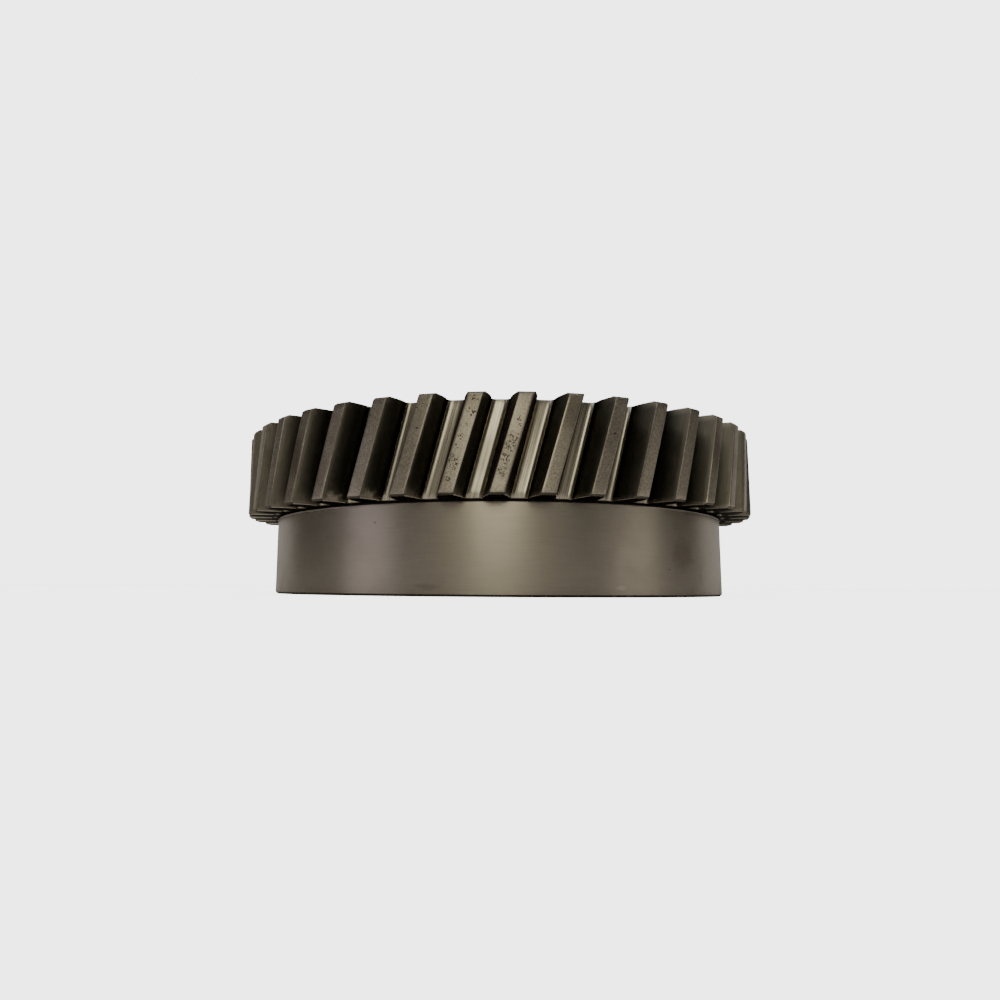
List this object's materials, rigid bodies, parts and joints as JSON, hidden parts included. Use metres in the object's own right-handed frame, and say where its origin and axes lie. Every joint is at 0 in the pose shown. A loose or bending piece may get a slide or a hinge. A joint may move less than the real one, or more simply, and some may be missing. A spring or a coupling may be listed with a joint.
{
  "type": "crankshaft gear",
  "caption": "One-piece right-hand helical crankshaft gear with a wide plain ground hub, a chamfered bore and a keyway, for driving an engine's timing train.",
  "frame": {"origin": "on the bore axis, at the hub's end face, which is the lowest face", "axes": "+Z along the bore axis from the hub towards the toothed ring; -Y towards a tooth's middle at the lower end of the teeth, and +Y towards the keyway"},
  "size_m": [0.137, 0.137, 0.041],
  "materials": {
    "ground_steel": "dark satin steel, hobbed teeth and a finely ground hub"
  },
  "bodies": {
    "root": {"crankshaft_gear": "ground_steel"}
  },
  "joints": []
}
